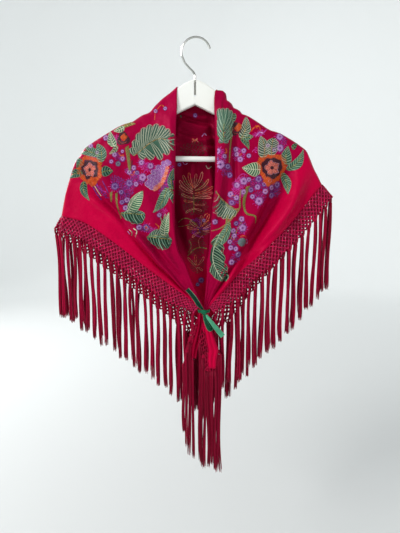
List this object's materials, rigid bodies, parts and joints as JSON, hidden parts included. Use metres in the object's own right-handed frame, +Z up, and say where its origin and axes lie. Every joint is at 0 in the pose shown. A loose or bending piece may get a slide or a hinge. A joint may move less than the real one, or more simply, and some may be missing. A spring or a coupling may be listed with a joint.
{
  "type": "silk shawl on a hanger",
  "caption": "Triangular embroidered silk shawl with a knotted net and long fringe, worn over a trouser hanger and tied in front with a ribbon.",
  "frame": {"origin": "inside top of the hanger's hook, where a rail or peg carries it", "axes": "+X to the right seen from the front, +Y from the front to the back, +Z up"},
  "size_m": [0.5173, 0.064, 0.8175],
  "materials": {
    "silk": "crimson silk with a soft sheen, embroidered with flowers in silk thread",
    "fringe": "crimson silk thread, knotted and left to hang",
    "ribbon": "green satin",
    "hanger": "white satin lacquer",
    "hook": "bright wire"
  },
  "bodies": {
    "root": {"front_left": "silk", "front_right": "silk", "back": "silk", "tail_left": "silk", "tail_right": "silk", "fringe_front_left": "fringe", "fringe_front_right": "fringe", "fringe_back_left": "fringe", "fringe_back_right": "fringe", "fringe_tail_left": "fringe", "fringe_tail_right": "fringe", "ribbon_band": "ribbon", "ribbon_knot": "ribbon", "ribbon_end_up": "ribbon", "ribbon_end_down": "ribbon", "ribbon_loop": "ribbon", "hanger_arm_left": "hanger", "hanger_arm_right": "hanger", "hanger_bar": "hanger", "hanger_hook": "hook"}
  },
  "joints": []
}
